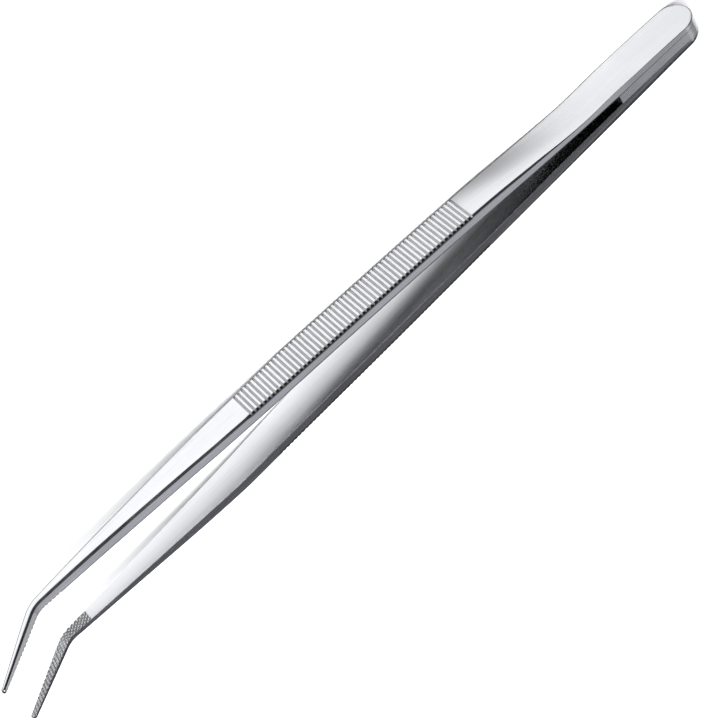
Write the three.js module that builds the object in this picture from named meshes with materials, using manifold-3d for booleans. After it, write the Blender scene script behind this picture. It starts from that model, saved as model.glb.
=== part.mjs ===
// Aquascaping tweezers: two sprung steel arms joined through a spacer at the butt end.
//
// Millimetres. +X runs from the rounded butt end to the tips, +Z is up, towards the side that
// the tips bend to, and +Y is to the left. The tweezers lie on the flat lower edges of the
// two arms, at z = 0. The arms open and close along Y, about the plane y = 0.

import * as THREE from 'three';
import { mergeVertices } from 'three/addons/utils/BufferGeometryUtils.js';
import Module from 'manifold-3d';

const wasm = await Module();
wasm.setup();

// ---- Driving dimensions ----

const length = 200; // butt end to tips
const handleWidth = 9.3; // height of the strip that each arm is made from
const clearance = 0.3; // between neighbouring solids

const spacerLength = 24.5;
const spacerThickness = 1.8;
const flexPosition = 38; // where each arm's bending is gathered into one hinge

const lowerTaperStart = 113; // the lower edge rises from here on
const upperTaperStart = 136; // the upper edge falls from here on
const bendStart = 182.5; // the jaws turn upwards here
const bendRadius = 6;
const bendAngle = THREE.MathUtils.degToRad(35.5);
const lowerEdgeAtBend = 4.7;
const upperEdgeAtBend = 7.4;
const tipWidth = 1.2;

const gripStart = 64.9;
const gripPitch = 1.088;
const grooveCount = 57;
const grooveWidth = 0.54;
const grooveDepth = 0.3;

const teethStart = 178;
const toothPitch = 1.1;
const toothDepth = 0.2;

// ---- Derived places on the jaws ----

const bendCentreHeight = (lowerEdgeAtBend + upperEdgeAtBend) / 2;
const bendEndDistance = bendStart + bendRadius * bendAngle;
const bendEndX = bendStart + bendRadius * Math.sin(bendAngle);
const tipCornerReach = (tipWidth / 2) * Math.sin(bendAngle);
const jawLength = (length - tipCornerReach - bendEndX) / Math.cos(bendAngle);
const tipDistance = bendEndDistance + jawLength;

// ---- The first section, just inside the rounded butt end ----

const firstStation = (handleWidth / 2) * (1 - Math.cos(THREE.MathUtils.degToRad(6)));

// ---- Profiles along the arm, as [distance from the butt end, value] ----

const innerFace = smoothProfile([
  [0, 1.2], [12, 1.2], [spacerLength, 1.2], [40, 1.5], [60, 2.4], [90, 3.6],
  [125, 4.7], [137, 5.2], [150, 5.45], [bendStart, 5.65], [tipDistance, 5.2],
]);
const leftThickness = smoothProfile([
  [0, 1.6], [12, 2.15], [spacerLength, 2.7], [40, 2.9], [60, 2.7], [90, 2.7],
  [125, 2.7], [150, 2.35], [165, 1.85], [teethStart, 1.45], [tipDistance, 0.85],
]);
const rightThickness = smoothProfile([
  [0, 1.05], [12, 1.4], [spacerLength, 1.5], [34, 1.2], [48, 1.75], [60, 2.15], [90, 2.15],
  [150, 2.25], [172, 2.2], [bendEndDistance, 1.8], [tipDistance, 0.85],
]);
const outerChamfer = smoothProfile([
  [0, 0.1], [36, 0.1], [48, 0.35], [60, 0.45], [120, 0.45], [150, 0.6], [172, 0.7], [tipDistance, 0.3],
]);

// A smooth curve through a few [position, value] points.
function smoothProfile(points) {
  const spline = new THREE.CubicInterpolant(
    points.map(([position]) => position),
    points.map(([, value]) => value),
    1,
  );
  return (position) => spline.evaluate(position)[0];
}

// ---- The arm's blank: its centre line, width and heading at a distance from the butt end ----

function lowerEdge(x) {
  const share = THREE.MathUtils.clamp((x - lowerTaperStart) / (bendStart - lowerTaperStart), 0, 1);
  return share * lowerEdgeAtBend;
}

function upperEdge(x) {
  const share = THREE.MathUtils.clamp((x - upperTaperStart) / (bendStart - upperTaperStart), 0, 1);
  return THREE.MathUtils.lerp(handleWidth, upperEdgeAtBend, share);
}

function blankHalfWidth(distance) {
  const radius = handleWidth / 2;
  if (distance < radius) {
    return Math.sqrt(radius ** 2 - (radius - distance) ** 2);
  }
  if (distance < bendStart) {
    return (upperEdge(distance) - lowerEdge(distance)) / 2;
  }
  const share = (distance - bendStart) / (tipDistance - bendStart);
  return THREE.MathUtils.lerp(upperEdgeAtBend - lowerEdgeAtBend, tipWidth, share) / 2;
}

function blank(distance) {
  const flatX = Math.min(distance, bendStart);
  const heading = THREE.MathUtils.clamp((distance - bendStart) / bendRadius, 0, bendAngle);
  const beyondBend = Math.max(distance - bendEndDistance, 0);
  const flatZ = (lowerEdge(flatX) + upperEdge(flatX)) / 2;
  return {
    x: flatX + bendRadius * Math.sin(heading) + beyondBend * Math.cos(heading),
    z: flatZ + bendRadius * (1 - Math.cos(heading)) + beyondBend * Math.sin(heading),
    heading,
    halfWidth: blankHalfWidth(distance),
  };
}

// The six corners of an arm's cross-section: two square inner ones, two chamfered outer ones.
function armSection(side, thickness, distance) {
  const { x, z, heading, halfWidth } = blank(distance);
  const inner = innerFace(distance);
  const outer = inner + thickness(distance);
  const chamfer = Math.min(outerChamfer(distance), halfWidth / 2);
  const corners = [
    [-halfWidth, inner],
    [halfWidth, inner],
    [halfWidth, outer - chamfer],
    [halfWidth - chamfer, outer],
    [-halfWidth + chamfer, outer],
    [-halfWidth, outer - chamfer],
  ];
  return corners.map(([across, through]) => new THREE.Vector3(
    x - across * Math.sin(heading),
    side * through,
    z + across * Math.cos(heading),
  ));
}

// ---- Solids ----

// A closed skin over a row of convex sections that all have the same number of corners.
function loft(sections) {
  const corners = sections[0].length;
  const positions = sections.flat().flatMap((point) => [point.x, point.y, point.z]);
  const index = [];
  for (let row = 0; row + 1 < sections.length; row += 1) {
    for (let corner = 0; corner < corners; corner += 1) {
      const here = row * corners + corner;
      const next = row * corners + ((corner + 1) % corners);
      index.push(here, next, next + corners, here, next + corners, here + corners);
    }
  }
  const last = (sections.length - 1) * corners;
  for (let corner = 1; corner + 1 < corners; corner += 1) {
    index.push(0, corner + 1, corner);
    index.push(last, last + corner, last + corner + 1);
  }
  const geometry = new THREE.BufferGeometry();
  geometry.setAttribute('position', new THREE.Float32BufferAttribute(positions, 3));
  geometry.setIndex(index);
  return geometry;
}

function flipped(geometry) {
  const index = geometry.getIndex().array;
  for (let corner = 0; corner < index.length; corner += 3) {
    [index[corner], index[corner + 1]] = [index[corner + 1], index[corner]];
  }
  return geometry;
}

function toManifold(geometry) {
  const bare = geometry.clone();
  bare.deleteAttribute('normal');
  bare.deleteAttribute('uv');
  const merged = mergeVertices(bare);
  return new wasm.Manifold(new wasm.Mesh({
    numProp: 3,
    vertProperties: new Float32Array(merged.getAttribute('position').array),
    triVerts: new Uint32Array(merged.getIndex().array),
  }));
}

function toGeometry(solid) {
  const mesh = solid.getMesh();
  const geometry = new THREE.BufferGeometry();
  geometry.setAttribute('position', new THREE.BufferAttribute(mesh.vertProperties, 3));
  geometry.setIndex(new THREE.BufferAttribute(mesh.triVerts, 1));
  geometry.computeVertexNormals();
  return geometry;
}

// Distances at which an arm gets a cross-section: close together where its outline curves.
function stations(from, to) {
  const marks = [from, to];
  for (let angle = 10; angle <= 90; angle += 10) {
    marks.push((handleWidth / 2) * (1 - Math.cos(THREE.MathUtils.degToRad(angle))));
  }
  for (let distance = 8; distance < bendStart; distance += 4) {
    marks.push(distance);
  }
  marks.push(lowerTaperStart, upperTaperStart, bendStart, bendEndDistance);
  for (let step = 1; step < 6; step += 1) {
    marks.push(THREE.MathUtils.lerp(bendStart, bendEndDistance, step / 6));
    marks.push(THREE.MathUtils.lerp(bendEndDistance, tipDistance, step / 6));
  }
  return [...new Set(marks)]
    .filter((distance) => distance >= from && distance <= to)
    .sort((a, b) => a - b);
}

function armSolid(side, thickness, from, to) {
  const skin = loft(stations(from, to).map((distance) => armSection(side, thickness, distance)));
  return toManifold(side > 0 ? flipped(skin) : skin);
}

// A bar laid across an arm's inner or outer face at a distance from the butt end. It is first
// rolled about its own long axis, then swung within the face.
function crossCutter(side, distance, through, bar) {
  const { x, z, heading } = blank(distance);
  const cutter = new THREE.BoxGeometry(bar.width, bar.height, bar.reach);
  cutter.rotateZ(bar.roll);
  cutter.rotateY(bar.swing - heading);
  cutter.translate(x, side * through, z);
  return toManifold(cutter);
}

// The finger grip: straight grooves right across the outer face.
function withGrip(arm, side, thickness) {
  const bar = { width: grooveWidth, height: 2 * grooveDepth, reach: 2 * handleWidth, roll: 0, swing: 0 };
  let cut = arm;
  for (let groove = 0; groove < grooveCount; groove += 1) {
    const distance = gripStart + groove * gripPitch;
    cut = cut.subtract(crossCutter(side, distance, innerFace(distance) + thickness(distance), bar));
  }
  return cut;
}

// The gripping teeth: two crossing rows of V grooves over the inner face of each jaw.
function withTeeth(arm, side) {
  const barWidth = toothDepth * Math.SQRT2;
  let cut = arm;
  for (let distance = teethStart; distance < tipDistance; distance += toothPitch) {
    for (const swing of [-Math.PI / 4, Math.PI / 4]) {
      const bar = { width: barWidth, height: barWidth, reach: 6, roll: Math.PI / 4, swing };
      cut = cut.subtract(crossCutter(side, distance, innerFace(distance), bar));
    }
  }
  return cut;
}

function armRoot(side, thickness) {
  return toGeometry(armSolid(side, thickness, firstStation, flexPosition - clearance / 2));
}

function armBlade(side, thickness) {
  const plain = armSolid(side, thickness, flexPosition + clearance / 2, tipDistance);
  return toGeometry(withTeeth(withGrip(plain, side, thickness), side));
}

// The block between the arms at the butt end: round at the back, square at the front.
function spacer() {
  const radius = handleWidth / 2;
  const outline = new THREE.Shape();
  outline.moveTo(radius, -radius);
  outline.lineTo(spacerLength, -radius);
  outline.lineTo(spacerLength, radius);
  outline.lineTo(radius, radius);
  outline.absarc(radius, 0, radius, Math.PI / 2, (3 * Math.PI) / 2, false);
  const block = new THREE.ExtrudeGeometry(outline, {
    depth: spacerThickness,
    bevelEnabled: false,
    curveSegments: 24,
  });
  block.translate(0, 0, -spacerThickness / 2);
  block.rotateX(Math.PI / 2);
  block.translate(0, 0, radius);
  return block;
}

// ---- Assembly ----

function steelPiece(name, geometry, colour) {
  const material = new THREE.MeshStandardMaterial({ color: colour, roughness: 0.3, metalness: 1 });
  const mesh = new THREE.Mesh(geometry, material);
  mesh.name = name;
  return mesh;
}

const tweezers = new THREE.Group();
tweezers.position.x = -length / 2;
tweezers.add(steelPiece('spacer', spacer(), 0xb4b5b8));
for (const [name, side, thickness] of [['right', -1, rightThickness], ['left', 1, leftThickness]]) {
  tweezers.add(steelPiece(`${name}_arm_root`, armRoot(side, thickness), 0xc8c9cb));
  tweezers.add(steelPiece(`${name}_arm`, armBlade(side, thickness), 0xd6d7d9));
}

export default tweezers;
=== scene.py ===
"""Aquascaping tweezers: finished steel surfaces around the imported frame.

Metres. +X runs from the rounded butt end to the tips, +Y is towards the left arm, and +Z is up,
the way the tips bend. Each arm is one springy strip, so a single mesh replaces its two nodes
and bends across the joint.
"""

import math

import bpy
import numpy as np
from mathutils import Matrix, Vector


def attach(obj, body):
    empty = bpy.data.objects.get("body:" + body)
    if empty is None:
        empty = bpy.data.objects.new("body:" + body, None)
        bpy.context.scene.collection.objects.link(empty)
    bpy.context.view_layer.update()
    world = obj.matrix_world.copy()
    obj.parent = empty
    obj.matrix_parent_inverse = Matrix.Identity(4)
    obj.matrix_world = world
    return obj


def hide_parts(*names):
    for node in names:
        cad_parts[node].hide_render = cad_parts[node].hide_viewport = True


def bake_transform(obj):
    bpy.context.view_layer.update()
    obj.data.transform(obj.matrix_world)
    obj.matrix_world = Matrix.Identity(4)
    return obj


MM = 0.001

# ---- Driving dimensions: lengths in millimetres, angles in radians ----

LENGTH = 200.0
HANDLE_WIDTH = 9.3
BUTT_RADIUS = HANDLE_WIDTH / 2
SPACER_LENGTH = 24.5
SPACER_HALF_THICKNESS = 1.06
SPACER_FRONT_EASE = 0.08

LOWER_TAPER_START = 113.0
UPPER_TAPER_START = 136.0
BEND_START = 182.5
BEND_RADIUS = 6.0
BEND_ANGLE = math.radians(35.5)
LOWER_EDGE_AT_BEND = 4.7
UPPER_EDGE_AT_BEND = 7.4
TIP_WIDTH = 1.2

GRIP_START = 64.9
GRIP_PITCH = 1.088
GROOVE_COUNT = 57
GROOVE_WIDTH = 0.6
GROOVE_DEPTH = 0.3
GROOVE_FULLNESS = 1.6

TEETH_START = 178.0
TOOTH_PITCH = 1.0
TOOTH_DEPTH = 0.22

WALL_LEAN = math.radians(7)
SQUARE_TO_LEANING = 9.0
TIP_ROUNDING = 0.6
TIP_END_LOSS = 0.85
RIM_WIDTH = 0.14
SHARP_EDGE = math.radians(24)
LARGEST_EDGE_SHARE = 0.8
LARGEST_ROUNDING_SHARE = 0.5

# ---- Mesh density ----

PLAIN_STEP = 1.5
POINTS_PER_GROOVE = 9
JAW_STATIONS = 300
INNER_POINTS = 30
OUTER_POINTS = 14
WALL_POINTS = 6

# ---- Painted shade and painted dark reflection, darkened into the steel's colour: strengths from 0 to 1, and distances from the butt end in millimetres.
# Level runs from -1 at the lower edge of a face to 1 at the upper one. ----

PATCH_STRENGTH = 0.9
PATCH_MIDDLE = 49.0
PATCH_SLANT = 9.0
PATCH_REACH = 11.0
PATCH_NARROWING = 4.0
INSIDE_STRENGTH = 0.9
INSIDE_BORDER = 84.0
INSIDE_SLANT = 35.0
INSIDE_SOFTNESS = 18.0
INNER_RIM_SHADE = 0.6
TEETH_PAINTED_SHADE = 0.5
TIP_DARKENING_REACH = 1.0

# ---- Steel: base colour, and the share of it that is left where shade is painted into it ----

ARM_TINT = (0.57, 0.575, 0.585)
SPACER_TINT = (0.55, 0.555, 0.565)
RECESS_SHADE_TONE = 0.4
RIM_SHADE_TONE = 0.3
PAINTED_SHADE_TONE = 0.4

# ---- Camera and stage: lengths in metres, but the lens in millimetres ----

CAMERA_PLACE = (0.0471, -0.3353, 0.3474)
CAMERA_TARGET = (0.0026, 0.0062, 0.00465)
CAMERA_ROLL = math.radians(131.4)
CAMERA_LENS = 115.6
FLOOR_SIZE = 2.4
FLOOR_GAP = 0.00005
BACKDROP_GREY = 0.6

# ---- Derived places ----

GRIP_END = GRIP_START + GRIP_PITCH * GROOVE_COUNT
BEND_END = BEND_START + BEND_RADIUS * BEND_ANGLE
BEND_END_X = BEND_START + BEND_RADIUS * math.sin(BEND_ANGLE)
TIP_CORNER_REACH = TIP_WIDTH / 2 * math.sin(BEND_ANGLE)
TIP_DISTANCE = BEND_END + (LENGTH - TIP_CORNER_REACH - BEND_END_X) / math.cos(BEND_ANGLE)


def smooth_profile(points):
    """A smooth curve through a few (distance, value) points."""
    places, values = (np.array(column, float) for column in zip(*points))
    slopes = np.diff(values) / np.diff(places)
    tangents = np.concatenate([slopes[:1], (slopes[:-1] + slopes[1:]) / 2, slopes[-1:]])

    def profile(distance):
        distance = np.asarray(distance, float)
        k = np.clip(np.searchsorted(places, distance, side="right") - 1, 0, len(slopes) - 1)
        span = places[k + 1] - places[k]
        t = (distance - places[k]) / span
        rise = values[k + 1] - values[k]
        bow_in = tangents[k] * span - rise
        bow_out = rise - tangents[k + 1] * span
        return values[k] + t * rise + t * (1 - t) * ((1 - t) * bow_in + t * bow_out)

    return profile


# ---- Profiles along the arm, as (distance from the butt end, value) ----

inner_face = smooth_profile([
    (0, 1.06), (12, 1.06), (SPACER_LENGTH, 1.08), (40, 1.5), (60, 2.4), (90, 3.6),
    (125, 4.7), (137, 5.2), (150, 5.45), (BEND_START, 5.65), (TIP_DISTANCE, 5.2),
])
left_outer_face = smooth_profile([
    (0, 2.8), (12, 3.35), (SPACER_LENGTH, 3.9), (40, 4.4), (60, 5.1), (90, 6.3), (125, 7.4),
    (137, 7.8), (150, 7.8), (165, 7.4), (TEETH_START, 7.1), (BEND_END, 6.85),
    (TIP_DISTANCE, 6.05),
])
right_outer_face = smooth_profile([
    (0, 2.25), (12, 2.6), (SPACER_LENGTH, 2.7), (34, 2.5), (48, 3.55), (60, 4.55), (90, 5.75),
    (125, 6.85), (137, 7.4), (150, 7.7), (172, 7.8), (BEND_END, 7.4), (TIP_DISTANCE, 6.05),
])
left_edge_size = smooth_profile([
    (0, 0.6), (SPACER_LENGTH, 0.5), (40, 0.35), (60, 0.25), (90, 0.2), (TIP_DISTANCE, 0.15),
])
left_edge_depth = smooth_profile([
    (0, 1.6), (12, 1.9), (SPACER_LENGTH, 1.8), (40, 1.2), (60, 0.7), (90, 0.5), (172, 0.5),
    (TIP_DISTANCE, 0.3),
])
right_edge_size = smooth_profile([
    (0, 0.1), (36, 0.12), (48, 0.4), (60, 0.5), (120, 0.5), (150, 0.55), (172, 0.55),
    (TIP_DISTANCE, 0.3),
])
right_edge_depth = smooth_profile([
    (0, 0.1), (36, 0.1), (48, 0.3), (60, 0.36), (120, 0.36), (150, 0.4), (172, 0.4),
    (TIP_DISTANCE, 0.22),
])
inner_edge_size = smooth_profile([
    (0, 0.01), (18, 0.01), (SPACER_LENGTH, 0.04), (60, 0.045), (TIP_DISTANCE, 0.03),
])


# ---- The arm's outline: centre line, heading and half width at a distance from the butt end ----

def lower_edge(x):
    share = np.clip((x - LOWER_TAPER_START) / (BEND_START - LOWER_TAPER_START), 0, 1)
    return share * LOWER_EDGE_AT_BEND


def upper_edge(x):
    share = np.clip((x - UPPER_TAPER_START) / (BEND_START - UPPER_TAPER_START), 0, 1)
    return HANDLE_WIDTH + share * (UPPER_EDGE_AT_BEND - HANDLE_WIDTH)


def half_width(distance):
    straight = (upper_edge(distance) - lower_edge(distance)) / 2
    from_centre = np.clip(BUTT_RADIUS - distance, 0, BUTT_RADIUS)
    rounded = np.sqrt(BUTT_RADIUS ** 2 - from_centre ** 2)
    share = np.clip((distance - BEND_START) / (TIP_DISTANCE - BEND_START), 0, 1)
    width_at_bend = UPPER_EDGE_AT_BEND - LOWER_EDGE_AT_BEND
    jaw = (width_at_bend + share * (TIP_WIDTH - width_at_bend)) / 2
    return np.where(distance < BUTT_RADIUS, rounded, np.where(distance < BEND_START, straight, jaw))


def centre_line(distance):
    """X, Z and heading of the middle of the strip."""
    flat_x = np.minimum(distance, BEND_START)
    heading = np.clip((distance - BEND_START) / BEND_RADIUS, 0, BEND_ANGLE)
    beyond = np.maximum(distance - BEND_END, 0)
    flat_z = (lower_edge(flat_x) + upper_edge(flat_x)) / 2
    x = flat_x + BEND_RADIUS * np.sin(heading) + beyond * np.cos(heading)
    z = flat_z + BEND_RADIUS * (1 - np.cos(heading)) + beyond * np.sin(heading)
    return x, z, heading


# ---- Surface detail ----

def edge_drop(from_edge, size, depth, rounded):
    """How far a face falls away near its edge: along an arc, or down a flat chamfer."""
    inside = np.clip(1 - from_edge / size, 0, 1)
    return depth * (1 - np.sqrt(1 - inside ** 2) if rounded else inside)


def groove_depth(distance):
    """The ribs of the finger grip: V grooves with an eased bottom, between flat lands."""
    number = np.round((distance - GRIP_START) / GRIP_PITCH)
    number = np.clip(number, 0, GROOVE_COUNT - 1)
    from_middle = np.abs(distance - GRIP_START - number * GRIP_PITCH) / (GROOVE_WIDTH / 2)
    return GROOVE_DEPTH * np.clip(1 - from_middle ** GROOVE_FULLNESS, 0, 1)


def tooth_depth(distance, across):
    """Two crossing rows of V grooves over the jaw."""
    row_pitch = TOOTH_PITCH / math.sqrt(2)
    deepest = 0
    for direction in (-1, 1):
        along_row = (distance - TEETH_START + direction * across) / math.sqrt(2)
        from_groove = np.abs((along_row / row_pitch + 0.5) % 1 - 0.5) * row_pitch
        deepest = np.maximum(deepest, np.clip(TOOTH_DEPTH - from_groove, 0, None))
    return np.where(distance > TEETH_START, deepest, 0)


# ---- Mesh building ----

def arm_stations():
    """Distances with a cross-section: dense round the butt, through the grip and on the teeth."""
    butt = BUTT_RADIUS * (1 - np.cos(np.radians(np.arange(2, 90, 4))))
    plain = np.arange(BUTT_RADIUS, TEETH_START, PLAIN_STEP)
    groove_shape = np.linspace(-1, 1, POINTS_PER_GROOVE) * GROOVE_WIDTH / 2
    grooves = GRIP_START + GRIP_PITCH * np.arange(GROOVE_COUNT)
    grip = (grooves[:, None] + groove_shape).ravel()
    in_grip = (plain > GRIP_START - GRIP_PITCH) & (plain < grooves[-1] + GRIP_PITCH)
    teeth = np.linspace(TEETH_START, TIP_DISTANCE, JAW_STATIONS)
    tip = TIP_DISTANCE - TIP_ROUNDING * (1 - np.sin(np.radians(np.arange(50, 91, 5))))
    marks = [butt, plain[~in_grip], grip, teeth, tip, [LOWER_TAPER_START, UPPER_TAPER_START]]
    return np.unique(np.round(np.concatenate(marks), 4))


def across_face(width, rim, middle):
    """Places across a face, from its lower to its upper edge, closer together at both rims."""
    steps = np.array([0, 0.03, 0.1, 0.25, 0.5, 0.75, 1])
    over_rim = rim[:, None] * steps
    band = RIM_WIDTH * width[:, None] / BUTT_RADIUS
    beside_rim = [over_rim[:, -1:] + band, over_rim[:, -1:] + 2 * band]
    low = -width[:, None] + np.concatenate([over_rim, *beside_rim], axis=1)
    span = np.linspace(0, 1, middle + 2)[1:-1]
    inner = low[:, -1:] + span * (-2 * low[:, -1:])
    return np.concatenate([low, inner, -low[:, ::-1]], axis=1)


def to_edge(distance, across, width, set_back):
    """Distance from a point on a face to the face's own edge, round the butt end as well."""
    x, _, _ = centre_line(distance)
    straight = width - set_back - np.abs(across)
    round_end = BUTT_RADIUS - set_back - np.hypot(x - BUTT_RADIUS, across)
    return np.where(x < BUTT_RADIUS, np.maximum(round_end, 0), straight)


def ramp(value, start, end):
    """Rises smoothly from 0 at start to 1 at end."""
    share = np.clip((value - start) / (end - start), 0, 1)
    return share * share * (3 - 2 * share)


def tip_share(distance):
    """The share of its width and thickness that the strip keeps where its tip is rounded off."""
    into_rounding = np.clip((distance - TIP_DISTANCE) / TIP_ROUNDING + 1, 0, 1)
    return 1 - TIP_END_LOSS * (1 - np.sqrt(1 - into_rounding ** 2))


def painted_dark_reflection(distance, level):
    """A painted dark reflection: a slanting patch darkened into the outer face's colour behind the
    grip.
    Chosen to match the tones of the real one."""
    middle = PATCH_MIDDLE - PATCH_SLANT * level
    reach = PATCH_REACH - PATCH_NARROWING * level
    strength = PATCH_STRENGTH - PATCH_STRENGTH * ramp(level, -0.7, 1.0)
    return np.where(distance < GRIP_START, strength * np.exp(-((distance - middle) / reach) ** 2), 0)


def painted_gap_shade(distance, level):
    """Painted shade between the arms, darkened into the inner face's colour: most near the butt,
    none near the jaws, with a border that slants across it. Chosen in the same way as the patch."""
    border = INSIDE_BORDER + INSIDE_SLANT * level
    fade = ramp(distance, border - INSIDE_SOFTNESS, border + INSIDE_SOFTNESS)
    return INSIDE_STRENGTH - INSIDE_STRENGTH * fade


def painted_tip_shade(distance):
    """Painted shade darkened into the colour of the tip's last stretch."""
    return ramp(distance, TIP_DISTANCE - TIP_DARKENING_REACH, TIP_DISTANCE)


def painted_rim_shade(distance, from_rim, level):
    """Painted shade: a dark band along the outer face's lower rim, and along both rims at the
    rounded butt end and in the grip."""
    in_grip = (distance > GRIP_START) & (distance < GRIP_END)
    all_round = np.maximum(in_grip, 1 - ramp(distance, 2, BUTT_RADIUS))
    band = np.clip(1.5 - from_rim / RIM_WIDTH, 0, 1)
    return band * np.maximum(all_round, 1 - ramp(level, 0.3, 0.8))


# The next three work on every cross-section at once: one row for each station along the arm.
# Each returns its points' places across and through the strip, and the steel's finish and painted
# shade there.

def inner_side(station, width, inner, rounding):
    across = across_face(width[:, 0], rounding[:, 0], INNER_POINTS)
    drop = edge_drop(to_edge(station, across, width, 0), rounding, rounding, True)
    teeth = np.clip(tooth_depth(station, across) - drop, 0, None)
    # Painted shade on the jaw's inner face, growing towards the tip.
    painted_jaw_shade = TEETH_PAINTED_SHADE * ramp(station, TEETH_START, TIP_DISTANCE)
    # The finish paints shade into the teeth, onto the inner rim and into the gap between the arms;
    # recess also roughens the teeth.
    finish_and_shade = {
        "recess": teeth / TOOTH_DEPTH,
        # The inner rim gets painted shade that damps its highlight.
        "rim": np.where((drop > 0) & (station > SPACER_LENGTH), INNER_RIM_SHADE, 0),
        "ground": np.zeros_like(across),
        "darkened": painted_gap_shade(station, across / width) + painted_jaw_shade,
    }
    return across, inner + drop + teeth, finish_and_shade


def outer_side(station, width, outer, edge, depth, rounded, set_back):
    across = across_face((width - set_back)[:, 0], edge[:, 0], OUTER_POINTS)[:, ::-1]
    gap = to_edge(station, across, width, set_back)
    fall = edge_drop(gap, edge, depth, rounded)
    groove = np.clip(groove_depth(station) - fall, 0, None)
    level = across / np.where(station < BUTT_RADIUS, BUTT_RADIUS, width)
    # The finish paints shade into the grooves, along the rims, on the patch and at the tip; recess
    # also roughens the grooves.
    finish_and_shade = {
        "recess": groove / GROOVE_DEPTH / 2,
        "rim": painted_rim_shade(station, gap - edge, level),
        "ground": np.zeros_like(across),
        "darkened": painted_dark_reflection(station, level) + painted_tip_shade(station),
    }
    return across, outer - fall - groove, finish_and_shade


def wall_side(station, width, inner, outer, square_until):
    """The upper edge of the strip, from the inner face to the outer one. It is square at the butt
    and leans back a little further on. Also returns how far back it ends at the outer face."""
    rise = np.linspace(0, 1, WALL_POINTS) * (outer - inner)
    lean = ramp(station, square_until, square_until + SQUARE_TO_LEANING) * math.tan(WALL_LEAN)
    set_back = lean * rise
    across = (width - set_back)[:, 1:-1]
    # The finish roughens the wall and paints shade at the tip.
    finish_and_shade = {
        "recess": np.zeros_like(across),
        "rim": np.zeros_like(across),
        "ground": np.ones_like(across),
        "darkened": np.zeros_like(across) + painted_tip_shade(station),
    }
    return (across, (inner + rise)[:, 1:-1], finish_and_shade), set_back[:, -1:]


def arm_rings(outer_face, edge_size, edge_depth, rounded, square_until):
    """Every point of every cross-section of an arm, in order round the strip: its distance from
    the butt end, its places across and through, and its finishes and painted shade, from 0 to 1."""
    distance = arm_stations()
    station = distance[:, None]
    share = tip_share(station)
    width = half_width(station) * share
    inner = inner_face(station)
    outer = inner + (outer_face(station) - inner) * share
    edge = np.minimum(edge_size(station), width * LARGEST_EDGE_SHARE)
    depth = np.minimum(edge_depth(station), (outer - inner) * LARGEST_EDGE_SHARE)
    rounding = np.minimum(inner_edge_size(station), width * LARGEST_ROUNDING_SHARE)

    upper, set_back = wall_side(station, width, inner + rounding, outer - depth, square_until)
    # The lower edge mirrors the upper one. Each row of it has one finish and painted shade, so that
    # isn't reversed.
    lower = -upper[0][:, ::-1], upper[1][:, ::-1], upper[2]
    sides = (
        inner_side(station, width, inner, rounding),
        upper,
        outer_side(station, width, outer, edge, depth, rounded, set_back),
        lower,
    )
    across, through = (np.concatenate([side[part] for side in sides], axis=1) for part in (0, 1))
    finishes_and_shades = {
        name: np.concatenate([finish_and_shade[name] for _, _, finish_and_shade in sides], axis=1)
        for name in upper[2]
    }
    return distance, across, through, finishes_and_shades


def mesh_object(name, points, faces):
    mesh = bpy.data.meshes.new(name)
    mesh.from_pydata(points.tolist(), [], faces)
    mesh.validate()
    mesh.update()
    mesh.shade_smooth()
    mesh.set_sharp_from_angle(angle=SHARP_EDGE)
    piece = bpy.data.objects.new(name, mesh)
    bpy.context.scene.collection.objects.link(piece)
    return piece


def ring_faces(rings, corners, flip):
    """Quads between neighbouring rings, and a cap on each end."""
    index = np.arange(rings * corners).reshape(rings, corners)
    here, ahead = index[:-1], index[1:]
    quads = np.stack([here, np.roll(here, -1, 1), np.roll(ahead, -1, 1), ahead], axis=-1)
    quads = quads.reshape(-1, 4)
    caps = [index[0][::-1].tolist(), index[-1].tolist()]
    if flip:
        quads = quads[:, ::-1]
        caps = [cap[::-1] for cap in caps]
    return quads.tolist() + caps


def add_surface_data(mesh, along, around, finishes_and_shades):
    """Lays a map on the strip, in millimetres along and around it, and stores its finishes and
    painted shade.
    """
    for name, values in finishes_and_shades.items():
        layer = mesh.attributes.new(name, "FLOAT", "POINT")
        layer.data.foreach_set("value", values.ravel())
    corners = np.zeros(len(mesh.loops), dtype=int)
    mesh.loops.foreach_get("vertex_index", corners)
    places = np.stack([along.ravel()[corners], around.ravel()[corners]], axis=-1)
    uv_map = mesh.uv_layers.new(name="along_the_strip")
    uv_map.data.foreach_set("uv", places.ravel())


def arm(name, side, **shape):
    distance, across, through, finishes_and_shades = arm_rings(**shape)
    x, z, heading = (values[:, None] for values in centre_line(distance))
    points = np.stack([
        x - across * np.sin(heading) - LENGTH / 2,
        side * through,
        z + across * np.cos(heading),
    ], axis=-1)
    rings, corners = across.shape
    faces = ring_faces(rings, corners, flip=side > 0)
    piece = mesh_object(name, points.reshape(-1, 3) * MM, faces)
    along = np.broadcast_to(distance[:, None], across.shape)
    add_surface_data(piece.data, along, across + through, finishes_and_shades)
    return piece


def spacer():
    """The filler block: a round-ended plate with the corners of its square front end eased."""
    butt = BUTT_RADIUS * (1 - np.cos(np.radians(np.arange(2, 91, 4))))
    ease = SPACER_FRONT_EASE
    distance = np.concatenate([butt, [8, 12, 16, 20, SPACER_LENGTH - ease, SPACER_LENGTH]])
    eased = np.clip(distance - SPACER_LENGTH + ease, 0, ease)
    across = (half_width(distance) - eased)[:, None] * np.array([-1, 1, 1, -1])
    through = (SPACER_HALF_THICKNESS - eased)[:, None] * np.array([-1, -1, 1, 1])
    x = np.broadcast_to(distance[:, None], across.shape)
    points = np.stack([x - LENGTH / 2, through, BUTT_RADIUS + across], axis=-1)
    faces = ring_faces(len(distance), 4, flip=True)
    return mesh_object("steel_spacer", points.reshape(-1, 3) * MM, faces)


# ---- Materials ----

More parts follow.
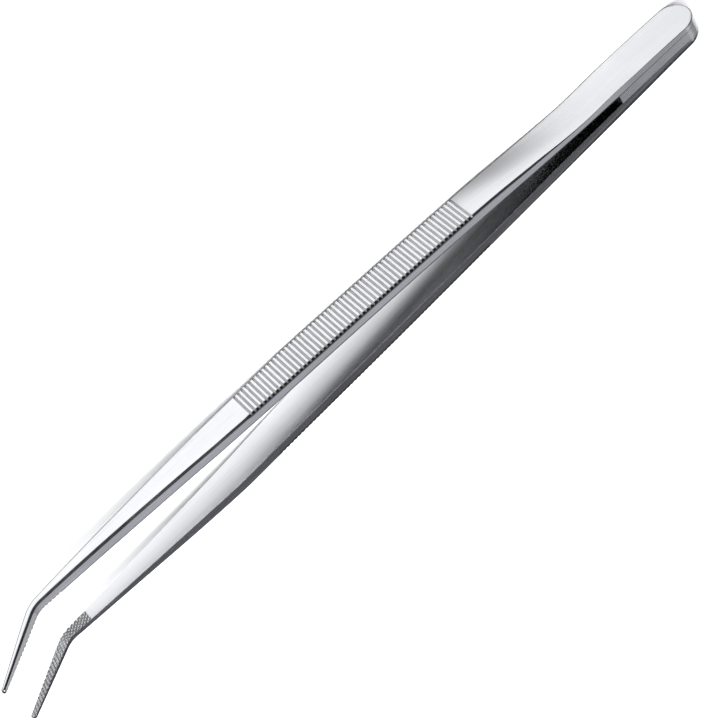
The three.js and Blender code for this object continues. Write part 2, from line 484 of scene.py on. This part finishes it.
class NodeTree:
    """Short calls for building a material's nodes."""

    def __init__(self, name):
        self.material = bpy.data.materials.new(name)
        self.material.use_nodes = True
        self.nodes = self.material.node_tree.nodes
        self.links = self.material.node_tree.links
        self.shader = self.nodes["Principled BSDF"]

    def add(self, kind, settings=(), **inputs):
        node = self.nodes.new(kind)
        for name, value in dict(settings).items():
            setattr(node, name, value)
        for name, value in inputs.items():
            self.feed(node.inputs[name.replace("_", " ")], value)
        return node

    def feed(self, socket, value):
        if isinstance(value, bpy.types.NodeSocket):
            self.links.new(value, socket)
        else:
            socket.default_value = value

    def noise(self, place, stretch, detail=3):
        """Noise with this many features in each unit of place, along each of its axes."""
        scaled = self.add("ShaderNodeVectorMath", {"operation": "MULTIPLY"})
        self.feed(scaled.inputs[0], place)
        self.feed(scaled.inputs[1], stretch)
        noise = self.add("ShaderNodeTexNoise", Vector=scaled.outputs[0], Scale=1.0, Detail=detail)
        return noise.outputs["Fac"]

    def spread(self, value, low, high, start=0.3, end=0.7):
        """Maps value from start..end to low..high."""
        node = self.add("ShaderNodeMapRange", Value=value, From_Min=start, From_Max=end,
                        To_Min=low, To_Max=high)
        return node.outputs["Result"]

    def maths(self, operation, first, second):
        node = self.add("ShaderNodeMath", {"operation": operation})
        self.feed(node.inputs[0], first)
        self.feed(node.inputs[1], second)
        return node.outputs["Value"]

    def tinted(self, value, tint):
        channels = [self.maths("MULTIPLY", value, part) for part in tint]
        node = self.add("ShaderNodeCombineColor", Red=channels[0], Green=channels[1],
                        Blue=channels[2])
        return node.outputs["Color"]

    def bump(self, height, depth, strength, normal=None):
        node = self.add("ShaderNodeBump", Height=height, Distance=depth, Strength=strength)
        if normal is not None:
            self.feed(node.inputs["Normal"], normal)
        return node.outputs["Normal"]


def arm_material():
    """Satin stainless steel: fine grain, lengthwise lines, rougher grooves, and painted shade
    darkened into the colour on the rims, grooves, teeth, tip and the other painted places. The noise
    is laid out in millimetres, on the strip's own map."""
    tree = NodeTree("satin_arm_steel")
    place = tree.add("ShaderNodeTexCoord").outputs["UV"]
    recess, rim, ground, darkened = (
        tree.add("ShaderNodeAttribute", {"attribute_name": name}).outputs["Fac"]
        for name in ("recess", "rim", "ground", "darkened")
    )
    fine_lines = tree.noise(place, (0.12, 11.0, 1.0))
    broad_lines = tree.noise(place, (0.03, 1.6, 1.0), 2)
    cloud = tree.noise(place, (0.07, 0.11, 1.0), 4)
    grain = tree.noise(place, (7.0, 7.0, 1.0), 2)

    # Painted shade: the grooves, rims and painted places darken the base colour.
    value = 1.0
    for share in (
        tree.spread(broad_lines, 0.93, 1.0),
        tree.spread(cloud, 0.93, 1.0),
        tree.spread(grain, 0.93, 1.0),
        tree.spread(recess, 1.0, RECESS_SHADE_TONE, 0.0, 1.0),
        tree.spread(rim, 1.0, RIM_SHADE_TONE, 0.0, 1.0),
        tree.spread(darkened, 1.0, PAINTED_SHADE_TONE, 0.0, 1.0),
    ):
        value = tree.maths("MULTIPLY", value, share)
    tree.feed(tree.shader.inputs["Base Color"], tree.tinted(value, ARM_TINT))

    rough = tree.spread(fine_lines, 0.12, 0.2)
    for extra in (
        tree.spread(cloud, 0.0, 0.04),
        tree.spread(recess, 0.0, 0.3, 0.0, 1.0),
        tree.spread(ground, 0.0, 0.06, 0.0, 1.0),
    ):
        rough = tree.maths("ADD", rough, extra)
    tree.feed(tree.shader.inputs["Roughness"], rough)
    tree.shader.inputs["Metallic"].default_value = 1

    lines = tree.bump(fine_lines, 0.01 * MM, 0.15)
    tree.feed(tree.shader.inputs["Normal"], tree.bump(grain, 0.01 * MM, 0.2, lines))
    return tree.material


def spacer_material():
    """Cut and ground stainless steel: duller than the arms, with short lines along it. The noise
    is laid out in metres."""
    tree = NodeTree("ground_spacer_steel")
    place = tree.add("ShaderNodeTexCoord").outputs["Object"]
    lines = tree.noise(place, (150.0, 9000.0, 1500.0))
    cloud = tree.noise(place, (120.0, 120.0, 120.0), 4)
    value = tree.maths("MULTIPLY", tree.spread(lines, 0.9, 1.0), tree.spread(cloud, 0.92, 1.0))
    tree.feed(tree.shader.inputs["Base Color"], tree.tinted(value, SPACER_TINT))
    tree.feed(tree.shader.inputs["Roughness"], tree.spread(lines, 0.2, 0.34))
    tree.feed(tree.shader.inputs["Normal"], tree.bump(lines, 0.01 * MM, 0.3))
    tree.shader.inputs["Metallic"].default_value = 1
    return tree.material


# ---- Stage, light and camera ----

def floor():
    bpy.ops.mesh.primitive_plane_add(size=FLOOR_SIZE, location=(0, 0, -FLOOR_GAP))
    plane = bpy.context.object
    plane.name = "floor"
    paper = bpy.data.materials.new("white_paper")
    paper.use_nodes = True
    shader = paper.node_tree.nodes["Principled BSDF"]
    shader.inputs["Base Color"].default_value = (0.9, 0.9, 0.9, 1)
    shader.inputs["Roughness"].default_value = 0.9
    plane.data.materials.append(paper)


def softbox(name, place, size, power, aim=(0, 0, 0)):
    data = bpy.data.lights.new(name, "AREA")
    data.shape = "RECTANGLE"
    data.size, data.size_y = size
    data.energy = power
    lamp = bpy.data.objects.new(name, data)
    lamp.location = place
    lamp.rotation_euler = (Vector(aim) - Vector(place)).to_track_quat("-Z", "Y").to_euler()
    bpy.context.scene.collection.objects.link(lamp)


# Brightness of the room by the height of the direction, as the sine of its angle.
CAMERA_SIDE_TONES = ((0.0, 0.1), (0.2, 0.04), (0.6, 0.04), (1.0, 0.6))
FAR_SIDE_TONES = ((0.0, 0.06), (0.3, 0.06), (0.53, 0.08), (0.7, 0.52), (0.86, 0.64), (1.0, 0.8))


def cool(grey):
    """A grey with a slight blue tint, as a colour."""
    return grey * 0.97, grey * 0.98, grey * 1.06, 1


def tone_ramp(nodes, tones):
    """A colour ramp through (height, grey) tones."""
    node = nodes.new("ShaderNodeValToRGB")
    stops = node.color_ramp.elements
    for stop, (height, grey) in zip(stops, (tones[0], tones[-1])):
        stop.position = height
        stop.color = cool(grey)
    for height, grey in tones[1:-1]:
        stops.new(height).color = cool(grey)
    return node


def room():
    """A room that the steel sees as dark low down and pale overhead, with the pale part reaching
    further down on the far side. The camera itself sees it as one pale tone."""
    world = bpy.data.worlds.new("studio")
    world.use_nodes = True
    nodes, links = world.node_tree.nodes, world.node_tree.links
    direction = nodes.new("ShaderNodeTexCoord")
    split = nodes.new("ShaderNodeSeparateXYZ")
    far_share = nodes.new("ShaderNodeMapRange")
    far_share.inputs["From Min"].default_value = -0.25
    far_share.inputs["From Max"].default_value = 0.15
    both = nodes.new("ShaderNodeMix")
    both.data_type = "RGBA"
    links.new(direction.outputs["Generated"], split.inputs["Vector"])
    links.new(split.outputs["Y"], far_share.inputs["Value"])
    links.new(far_share.outputs["Result"], both.inputs["Factor"])
    for name, tones in (("A", CAMERA_SIDE_TONES), ("B", FAR_SIDE_TONES)):
        side = tone_ramp(nodes, tones)
        links.new(split.outputs["Z"], side.inputs["Fac"])
        socket = [s for s in both.inputs if s.name == name and s.type == "RGBA"][0]
        links.new(side.outputs["Color"], socket)
    colour = [s for s in both.outputs if s.type == "RGBA"][0]
    backdrop = nodes.new("ShaderNodeBackground")
    backdrop.inputs["Color"].default_value = cool(BACKDROP_GREY)
    seen = nodes.new("ShaderNodeMixShader")
    links.new(nodes.new("ShaderNodeLightPath").outputs["Is Camera Ray"], seen.inputs[0])
    links.new(colour, nodes["Background"].inputs["Color"])
    links.new(nodes["Background"].outputs[0], seen.inputs[1])
    links.new(backdrop.outputs[0], seen.inputs[2])
    links.new(seen.outputs[0], nodes["World Output"].inputs["Surface"])
    bpy.context.scene.world = world


def lamps():
    """A large softbox above, a little to the camera's side so that the shadows fall behind the
    arms, and a weak fill and a small card on the far side, beyond the butt end."""
    softbox("overhead", (0.25, -0.2, 0.55), (0.8, 0.5), 9.4, aim=(0.2, 0, 0))
    softbox("fill", (-0.6, 0.53, 0.5), (0.5, 0.3), 0.35)
    softbox("end_card", (-0.66, 0.61, 0.17), (0.19, 0.33), 0.09)


def camera():
    """A long lens above the right arm's side, rolled so that the object runs diagonally."""
    place, target = Vector(CAMERA_PLACE), Vector(CAMERA_TARGET)
    data = bpy.data.cameras.new("camera")
    data.sensor_fit = "VERTICAL"
    data.sensor_height = 36
    data.lens = CAMERA_LENS
    eye = bpy.data.objects.new("camera", data)
    look = (target - place).to_track_quat("-Z", "Y").to_matrix().to_4x4()
    roll = Matrix.Rotation(CAMERA_ROLL, 4, "Z")
    eye.matrix_world = Matrix.Translation(place) @ look @ roll
    bpy.context.scene.collection.objects.link(eye)
    bpy.context.scene.camera = eye


# ---- The scene ----

def corners(box):
    return [list(corner) for corner in box]


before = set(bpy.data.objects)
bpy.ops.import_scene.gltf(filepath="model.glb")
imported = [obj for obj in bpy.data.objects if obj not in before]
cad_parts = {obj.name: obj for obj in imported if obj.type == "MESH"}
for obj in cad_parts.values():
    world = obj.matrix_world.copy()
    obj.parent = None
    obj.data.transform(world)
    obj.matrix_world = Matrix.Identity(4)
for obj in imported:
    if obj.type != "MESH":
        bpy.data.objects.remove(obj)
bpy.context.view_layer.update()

arm_steel = arm_material()
shapes = {
    "right": {"side": -1, "outer_face": right_outer_face, "edge_size": right_edge_size,
              "edge_depth": right_edge_depth, "rounded": False, "square_until": 18},
    "left": {"side": 1, "outer_face": left_outer_face, "edge_size": left_edge_size,
             "edge_depth": left_edge_depth, "rounded": True, "square_until": 0},
}
for name, shape in shapes.items():
    piece = arm(f"{name}_steel_arm", **shape)
    piece.data.materials.append(arm_steel)
    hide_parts(f"{name}_arm", f"{name}_arm_root")
    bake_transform(piece)

block = spacer()
block.data.materials.append(spacer_material())
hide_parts("spacer")
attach(block, "butt")

floor()
room()
lamps()
camera()
bpy.context.scene.view_settings.view_transform = "Standard"
